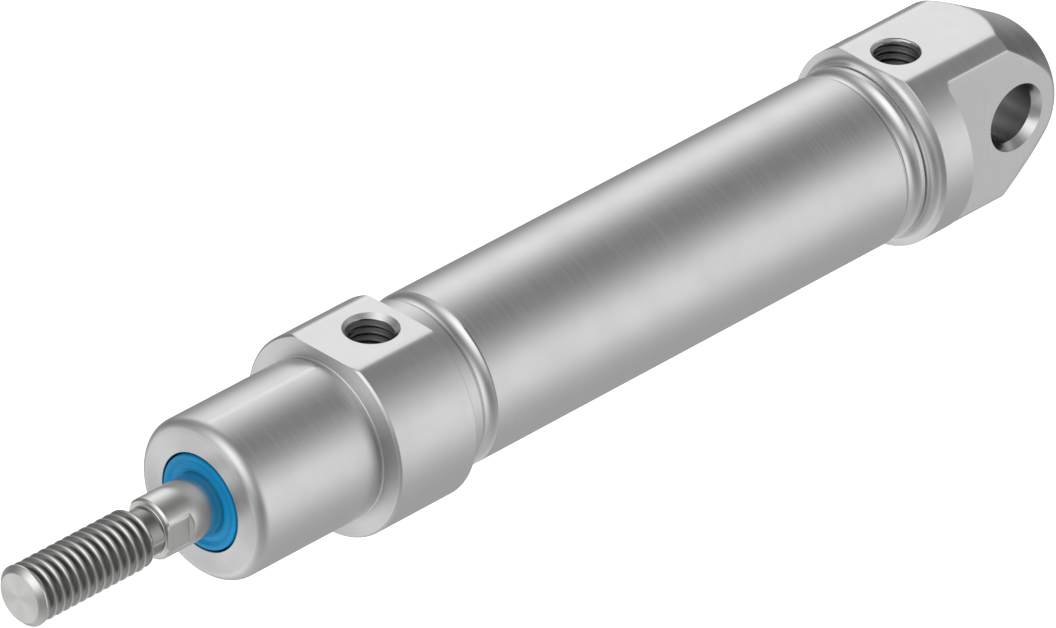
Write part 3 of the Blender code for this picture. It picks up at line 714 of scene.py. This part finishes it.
def make_rod(ground, rolled_with_painted_shade, milled):
    angles = even_angles(ROD_COLUMNS)
    profile = rounded(
        (STUD_END_X, 0.0),
        (STUD_END_X, STUD_R, STUD_EDGE_R),
        (ROD_SHOULDER_X, STUD_R),
        (ROD_SHOULDER_X, ROD_R, ROD_SHOULDER_EDGE_R),
        (WRENCH_START_X, ROD_R),
    )
    rings = [ring(x, r, angles) for x, r in profile[:-1]]
    end = rounded(
        (WRENCH_START_X, ROD_R),
        (THREAD_SHOULDER_X - SHOULDER_CHAMFER, ROD_R),
        (THREAD_SHOULDER_X, ROD_R - SHOULDER_CHAMFER),
        (THREAD_SHOULDER_X, RELIEF_R, RELIEF_FILLET_R),
        (THREAD_START_X, RELIEF_R),
    )
    rings.append(ring(WRENCH_START_X - GUARD, ROD_R, angles))
    rings.append(ring(WRENCH_START_X, ROD_R, angles))
    for step in range(1, WRENCH_RAMP_STEPS + 1):
        half_width = ROD_R + (WRENCH_HALF_WIDTH - ROD_R) * step / WRENCH_RAMP_STEPS
        x = WRENCH_START_X + WRENCH_RAMP * step / WRENCH_RAMP_STEPS
        rings.append(ring(x, flat_radii(ROD_R, angles, half_width, UNCUT), angles))
    for x, r in end[1:-1]:
        radii = flat_radii(r, angles, WRENCH_HALF_WIDTH, UNCUT)
        rings.append(ring(x, radii if r > WRENCH_HALF_WIDTH else np.full_like(angles, r), angles))
    climbing = threaded_rings(
        THREAD_START_X,
        THREAD_END_X,
        THREAD_PITCH,
        ROD_RINGS_PER_TURN,
        angles,
        lambda x: thread_radii(x, angles),
    )
    thread = (len(rings), len(rings) + len(climbing) - 1, ROD_RINGS_PER_TURN)
    rings.extend(climbing)
    tip = rounded(
        (THREAD_END_X, THREAD_TIP_R + ROD_END_X - THREAD_END_X),
        (ROD_END_X, ROD_TIP_R, ROD_TIP_EDGE_R),
        (ROD_END_X, 0.0),
    )[1:]
    rings.extend(ring(x, r, angles) for x, r in tip)
    mesh = skinned("rod_body", rings, thread=thread)
    shown("rod_body", mesh, "rod", "rod_steel", [ground, rolled_with_painted_shade, milled], "piston_rod")
    # The thread's faces take the darkened steel: painted shade in its grooves.
    marked_faces(
        mesh,
        1,
        lambda at, normal: ROLLED_WITH_PAINTED_SHADE_START_X < at.x < ROD_END_X - THREAD_TIP_RING
        and math.hypot(at.y, at.z) < THREAD_CREST_R,
    )
    marked_faces(
        mesh,
        2,
        lambda at, normal: abs(normal.y) > 1.0 - SQUARE_WITHIN and at.x > WRENCH_START_X,
    )


# --- Materials ----------------------------------------------------------------------------------


# Noise values lie mostly in this range.
NOISE_RANGE = (0.3, 0.7)

# How far a surface turns from square to the axis before it counts as a round side.
FACE_TURN = math.radians(25.0)

# Metal: how much its colour and its roughness vary, how long its grooves look, patches per metre, and the
# quarter turn that spreads its gloss along the axis.
METAL_SWING = 0.03
PATCH_SWING_TURNED = 0.02
PATCH_SWING_MILLED = 0.03
TURNED_LENGTH = 9.0
MILLED_LENGTH = 6.0
TURNED_PATCHES = 260.0
MILLED_PATCHES = 400.0
ALONG_THE_AXIS = 0.25

# Moulded and sintered parts: sizes of their grains and clouds, height of the grains, and what varies.
GRAIN_SIZE = 0.25
CLOUD_SIZE = 4.0
GRAIN_HEIGHT = 0.002
MOULDED_SWING = 0.08
MOULDED_ROUGHNESS_SWING = 0.05


class Nodes:
    """Adds nodes to a tree and links them. An input is given by its name, or as i0, i1 and so on."""

    def __init__(self, tree):
        self.tree = tree

    def add(self, kind, operation=None, **inputs):
        node = self.tree.nodes.new(kind)
        if operation:
            node.operation = operation
        for key, value in inputs.items():
            socket = node.inputs[int(key[1:])] if key[0] == "i" and key[1:].isdigit() else node.inputs[key]
            if isinstance(value, bpy.types.NodeSocket):
                self.tree.links.new(value, socket)
            else:
                socket.default_value = value
        return node

    def math(self, operation, first, second=0.0):
        return self.add("ShaderNodeMath", operation, i0=first, i1=second).outputs[0]

    def mapped(self, value, from_range, to_range):
        """The value mapped from one range to another, and held at the ends."""
        node = self.add("ShaderNodeMapRange", Value=value)
        names = ("From Min", "From Max", "To Min", "To Max")
        for name, number in zip(names, (*from_range, *to_range)):
            node.inputs[name].default_value = number
        return node.outputs["Result"]


class MaterialNodes(Nodes):
    """The nodes of a new material with one principled shader."""

    def __init__(self, name):
        self.material = bpy.data.materials.new(name)
        self.material.use_nodes = True
        super().__init__(self.material.node_tree)
        self.shader = self.tree.nodes["Principled BSDF"]

    def link(self, socket, name):
        self.tree.links.new(socket, self.shader.inputs[name])


def spread(nodes, value, low, high):
    """Maps a noise value to a range."""
    return nodes.mapped(value, NOISE_RANGE, (low, high))


def swung(nodes, value, swing):
    """A noise value mapped to that much below and above zero."""
    return spread(nodes, value, -swing, swing)


def noise(nodes, vector, scale, detail=3.0):
    made = nodes.add("ShaderNodeTexNoise", Vector=vector, Scale=scale, Detail=detail)
    return made.outputs["Fac"]


def coloured(nodes, colour, value, swing):
    """Base colour that grows lighter and darker by a share of itself with a noise value."""
    level = spread(nodes, value, 1.0 - swing, 1.0 + swing)
    mixed = nodes.add("ShaderNodeVectorMath", "SCALE", i0=colour)
    nodes.tree.links.new(level, mixed.inputs["Scale"])
    nodes.link(mixed.outputs[0], "Base Color")


def bumped(nodes, height, distance):
    bump = nodes.add("ShaderNodeBump", Height=height, Distance=distance)
    nodes.link(bump.outputs["Normal"], "Normal")


def facing_along_x(nodes):
    """1 on a face square to the X axis, fading to 0 on faces turned FACE_TURN away from it."""
    normal = nodes.add("ShaderNodeNewGeometry").outputs["Normal"]
    across = nodes.add("ShaderNodeSeparateXYZ", Vector=normal).outputs[0]
    ramp = nodes.add("ShaderNodeMapRange", Value=nodes.math("ABSOLUTE", across))
    ramp.interpolation_type = "SMOOTHSTEP"
    ramp.inputs["From Min"].default_value = math.cos(FACE_TURN)
    return ramp.outputs["Result"]


def turned_metal(name, colour, roughness, face_roughness=0.38, groove=0.12, depth=0.00006, anisotropic=0.99):
    """Metal with fine grooves round the X axis, groove millimetres wide; its gloss spreads across them.

    Faces square to the axis are rougher than the round sides.
    """
    nodes = MaterialNodes(name)
    place = nodes.add("ShaderNodeTexCoord").outputs["Object"]
    axes = nodes.add("ShaderNodeSeparateXYZ", Vector=place).outputs
    squares = nodes.math("ADD", nodes.math("POWER", axes[1], 2.0), nodes.math("POWER", axes[2], 2.0))
    along = nodes.math("ADD", axes[0], nodes.math("SQRT", squares))
    across = 1.0 / (groove * MM)
    around = 1.0 / (TURNED_LENGTH * MM)
    fine = nodes.add(
        "ShaderNodeCombineXYZ",
        X=nodes.math("MULTIPLY", along, across),
        Y=nodes.math("MULTIPLY", axes[1], around),
        Z=nodes.math("MULTIPLY", axes[2], around),
    ).outputs[0]
    brush = noise(nodes, fine, 1.0, 4.0)
    patches = noise(nodes, place, TURNED_PATCHES, 2.0)
    coloured(nodes, colour, brush, METAL_SWING)
    swings = swung(nodes, brush, METAL_SWING), swung(nodes, patches, PATCH_SWING_TURNED)
    uneven = nodes.math("ADD", *swings)
    rougher = nodes.math("MULTIPLY", facing_along_x(nodes), face_roughness - roughness)
    nodes.link(nodes.math("ADD", nodes.math("ADD", uneven, rougher), roughness), "Roughness")
    bumped(nodes, brush, depth * MM)
    nodes.shader.inputs["Metallic"].default_value = 1.0
    nodes.shader.inputs["Anisotropic"].default_value = anisotropic
    nodes.shader.inputs["Anisotropic Rotation"].default_value = ALONG_THE_AXIS
    tangent = nodes.add("ShaderNodeTangent")
    tangent.direction_type = "RADIAL"
    tangent.axis = "X"
    nodes.link(tangent.outputs[0], "Tangent")
    return nodes.material


def milled_metal(name, colour, roughness, groove=0.1, depth=0.00005):
    """Metal milled flat: fine even lines and a soft cloud of rougher patches."""
    nodes = MaterialNodes(name)
    place = nodes.add("ShaderNodeTexCoord").outputs["Object"]
    lines = nodes.add("ShaderNodeMapping", Vector=place)
    along = 1.0 / (MILLED_LENGTH * MM)
    lines.inputs["Scale"].default_value = (1.0 / (groove * MM), along, along)
    brush = noise(nodes, lines.outputs[0], 1.0, 3.0)
    patches = noise(nodes, place, MILLED_PATCHES, 3.0)
    coloured(nodes, colour, brush, METAL_SWING)
    swings = swung(nodes, brush, METAL_SWING), swung(nodes, patches, PATCH_SWING_MILLED)
    nodes.link(nodes.math("ADD", nodes.math("ADD", *swings), roughness), "Roughness")
    bumped(nodes, brush, depth * MM)
    nodes.shader.inputs["Metallic"].default_value = 1.0
    return nodes.material


def moulded(name, colour, roughness, metallic=0.0, specular=0.5):
    """Rubber, plastic, sintered bronze or magnet: a fine grain in colour, roughness and height."""
    nodes = MaterialNodes(name)
    place = nodes.add("ShaderNodeTexCoord").outputs["Object"]
    grains = noise(nodes, place, 1.0 / (GRAIN_SIZE * MM), 4.0)
    clouds = noise(nodes, place, 1.0 / (CLOUD_SIZE * MM), 2.0)
    coloured(nodes, colour, nodes.math("MULTIPLY", nodes.math("ADD", grains, clouds), 0.5), MOULDED_SWING)
    low, high = roughness - MOULDED_ROUGHNESS_SWING, roughness + MOULDED_ROUGHNESS_SWING
    nodes.link(spread(nodes, grains, low, high), "Roughness")
    bumped(nodes, grains, GRAIN_HEIGHT * MM)
    nodes.shader.inputs["Metallic"].default_value = metallic
    nodes.shader.inputs["Specular IOR Level"].default_value = specular
    return nodes.material


# --- Stage --------------------------------------------------------------------------------------

# The view: degrees round Z and above the horizon, the picture's roll, and where the camera stands.
VIEW_AZIMUTH = 134.6
VIEW_ELEVATION = 32.5
VIEW_ROLL = 0.65
VIEW_DISTANCE = 1490.0
VIEW_RIGHT_SHIFT = 41.5
VIEW_UP_SHIFT = 20.7
SENSOR_WIDTH = 36.0
LENS = 541.0
CAMERA_CLIP = (100.0, 20000.0)

# Softboxes. Each one stands where the named surface mirrors it to the camera: two bands this far round
# the barrel, the spigot's rounded edge this far round it, and the end faces. The last one is a black flag,
# which takes light away where the cone behind the ports mirrors it. Brightness is the light in the middle
# of a softbox, and the higher its fade, the smaller it is.
BACK_BAND = 93.0
SIDE_BAND = 23.0
FRONT_EDGE_BAND = 60.0
BACK_BRIGHTNESS, BACK_FADE = 1.1, 7.0
SIDE_BRIGHTNESS, SIDE_FADE = 1.0, 5.0
FRONT_BRIGHTNESS, FRONT_FADE = 1.4, 4.0
FACES_BRIGHTNESS, FACES_FADE = 0.85, 6.0
CONE_BAND = 60.0
CONE_BRIGHTNESS, CONE_FADE = -0.2, 25.0

# Besides them, light from the horizon up, and from straight below.
UPPER_LIGHT = 0.07
LOWER_LIGHT = 0.54
BACKDROP = (0.95, 0.95, 0.95, 1.0)

# The floor lies so far below the cylinder that no shadow shows in the picture.
FLOOR_Z = -120.0
FLOOR_HALF_WIDTH = 3000.0
FLOOR_GLOW = 0.8


def view_direction():
    """Unit vector from the object towards the camera."""
    azimuth, elevation = math.radians(VIEW_AZIMUTH), math.radians(VIEW_ELEVATION)
    level = math.cos(elevation)
    return np.array([math.sin(azimuth) * level, -math.cos(azimuth) * level, math.sin(elevation)])


def mirrored(normal):
    """Direction of the light that a surface with this normal shows to the camera."""
    normal = np.array(normal) / np.linalg.norm(normal)
    view = view_direction()
    return 2.0 * normal.dot(view) * normal - view


def softboxes():
    """Direction, brightness and fade of each softbox and of the black flag."""
    bands = (BACK_BAND, SIDE_BAND, FRONT_EDGE_BAND, CONE_BAND)
    back, side, edge, cone = (math.radians(band) for band in bands)
    lean = math.tan(NOSE_HALF_ANGLE)
    return [
        (mirrored((0.0, math.cos(back), math.sin(back))), BACK_BRIGHTNESS, BACK_FADE),
        (mirrored((0.0, math.cos(side), math.sin(side))), SIDE_BRIGHTNESS, SIDE_FADE),
        (mirrored((1.0, math.cos(edge), math.sin(edge))), FRONT_BRIGHTNESS, FRONT_FADE),
        (mirrored((1.0, 0.0, 0.0)), FACES_BRIGHTNESS, FACES_FADE),
        (mirrored((-lean, math.cos(cone), math.sin(cone))), CONE_BRIGHTNESS, CONE_FADE),
    ]


def make_world():
    """The studio's light, brighter from below, with its softboxes; the camera sees a plain backdrop."""
    world = bpy.data.worlds.new("studio")
    bpy.context.scene.world = world
    world.use_nodes = True
    nodes = Nodes(world.node_tree)
    nodes.tree.nodes.clear()
    direction = nodes.add("ShaderNodeTexCoord").outputs["Generated"]
    height = nodes.add("ShaderNodeSeparateXYZ", Vector=direction).outputs["Z"]
    total = nodes.mapped(height, (-1.0, 0.0), (LOWER_LIGHT, UPPER_LIGHT))
    for towards, brightness, fade in softboxes():
        dot = nodes.add("ShaderNodeVectorMath", "DOT_PRODUCT", i0=direction, i1=towards.tolist())
        spreading = nodes.math("MULTIPLY", nodes.math("SUBTRACT", dot.outputs["Value"], 1.0), fade)
        lobe = nodes.math("MULTIPLY", nodes.math("EXPONENT", spreading), brightness)
        total = nodes.math("ADD", total, lobe)
    lit = nodes.add("ShaderNodeBackground", Color=total).outputs[0]
    plain = nodes.add("ShaderNodeBackground", Color=BACKDROP).outputs[0]
    seen = nodes.add("ShaderNodeLightPath").outputs["Is Camera Ray"]
    chosen = nodes.add("ShaderNodeMixShader", i0=seen, i1=lit, i2=plain).outputs[0]
    nodes.add("ShaderNodeOutputWorld", Surface=chosen)


def make_floor():
    """A plain pale floor, lit a little from within so that it reads as seamless."""
    nodes = MaterialNodes("floor_white")
    nodes.shader.inputs["Base Color"].default_value = (0.9, 0.9, 0.9, 1.0)
    nodes.shader.inputs["Roughness"].default_value = 0.9
    nodes.shader.inputs["Emission Color"].default_value = (1.0, 1.0, 1.0, 1.0)
    nodes.shader.inputs["Emission Strength"].default_value = FLOOR_GLOW
    mesh = bpy.data.meshes.new("floor")
    half, height = FLOOR_HALF_WIDTH * MM, FLOOR_Z * MM
    corners = [(-half, -half, height), (half, -half, height), (half, half, height), (-half, half, height)]
    mesh.from_pydata(corners, [], [(0, 1, 2, 3)])
    mesh.materials.append(nodes.material)
    floor = bpy.data.objects.new("floor", mesh)
    bpy.context.collection.objects.link(floor)
    floor.visible_glossy = False
    floor.visible_shadow = False


def make_camera():
    """The camera, placed by its view direction and by where the origin falls in its picture."""
    azimuth, roll = math.radians(VIEW_AZIMUTH), math.radians(VIEW_ROLL)
    back = view_direction()
    level = np.array([math.cos(azimuth), math.sin(azimuth), 0.0])
    upright = np.cross(back, level)
    right = math.cos(roll) * level + math.sin(roll) * upright
    up = math.cos(roll) * upright - math.sin(roll) * level
    place = (back * VIEW_DISTANCE - right * VIEW_RIGHT_SHIFT - up * VIEW_UP_SHIFT) * MM
    data = bpy.data.cameras.new("camera")
    data.sensor_width = SENSOR_WIDTH
    data.lens = LENS
    data.clip_start, data.clip_end = (distance * MM for distance in CAMERA_CLIP)
    camera = bpy.data.objects.new("camera", data)
    bpy.context.collection.objects.link(camera)
    turn = Matrix([list(row) for row in zip(right, up, back)]).to_4x4()
    camera.matrix_world = Matrix.Translation(place.tolist()) @ turn
    bpy.context.scene.camera = camera


def finish_inner_nodes(looks):
    """Better materials for the CAD nodes that stay."""
    for part in frame["record"]["subparts"]:
        look = looks.get(part["material_slot"])
        node = frame["nodes"][part["node"]]
        if node.hide_render or look is None:
            continue
        node.data.materials.clear()
        node.data.materials.append(look)


def main():
    satin = (0.66, 0.66, 0.66)
    cap_turned = turned_metal("cap_steel_turned", satin, 0.2)
    cap_milled = milled_metal("cap_steel_milled", satin, 0.2)
    barrel_brushed = turned_metal("barrel_steel_brushed", satin, 0.2, groove=0.2)
    barrel_burnished = turned_metal("barrel_steel_burnished", (0.7, 0.7, 0.7), 0.12, anisotropic=0.2)
    rod_ground = turned_metal(
        "rod_steel_ground",
        (0.66, 0.657, 0.645),
        0.15,
        face_roughness=0.45,
        groove=0.06,
        anisotropic=0.85,
    )
    rod_milled = milled_metal("rod_steel_milled", (0.47, 0.465, 0.45), 0.2)
    # The rolled thread: smoother and less anisotropic steel, with its colour darkened well below the rod's
    # as painted shade between the flanks.
    rod_rolled_with_painted_shade = turned_metal("rod_steel_rolled_with_painted_shade", (0.3, 0.298, 0.29), 0.16, anisotropic=0.3)
    # The ports' thread steel is near black: painted shade deep in the tapped holes.
    port_tapped_painted_shade = turned_metal("cap_steel_tapped_painted_shade", (0.17, 0.17, 0.17), 0.35)
    # The pivot bore's steel is rougher than the cap's, and greyer: the darker grey is painted shade inside
    # the hole.
    pivot_bored_painted_shade = milled_metal("cap_steel_bored_painted_shade", (0.5, 0.5, 0.5), 0.3, groove=2.0, depth=0.000005)
    blue = moulded("wiper_blue_moulded", (0.002, 0.24, 0.51), 0.4, specular=0.15)
    make_end_cap([cap_turned, cap_milled], pivot_bored_painted_shade, port_tapped_painted_shade)
    make_bearing_cap([cap_turned, cap_milled], port_tapped_painted_shade)
    make_barrel(barrel_brushed, barrel_burnished)
    make_wiper([blue])
    make_rod(rod_ground, rod_rolled_with_painted_shade, rod_milled)
    finish_inner_nodes(
        {
            "fastener_steel": turned_metal("fastener_steel_turned", (0.55, 0.55, 0.56), 0.35),
            "piston_aluminium": turned_metal("piston_aluminium_turned", (0.72, 0.73, 0.74), 0.32),
            "bush_bronze": moulded("bush_bronze_sintered", (0.52, 0.36, 0.18), 0.5, metallic=1.0),
            "magnet": moulded("magnet_sintered", (0.05, 0.05, 0.055), 0.55, metallic=0.3),
            "seal_rubber": moulded("seal_rubber_black", (0.02, 0.02, 0.02), 0.65),
            "bumper_rubber": moulded("bumper_rubber_green", (0.03, 0.16, 0.12), 0.5),
            "guide_plastic": moulded("guide_plastic_natural", (0.75, 0.74, 0.7), 0.45),
        }
    )
    make_world()
    make_floor()
    make_camera()
    bpy.context.scene.view_settings.view_transform = "Standard"


main()
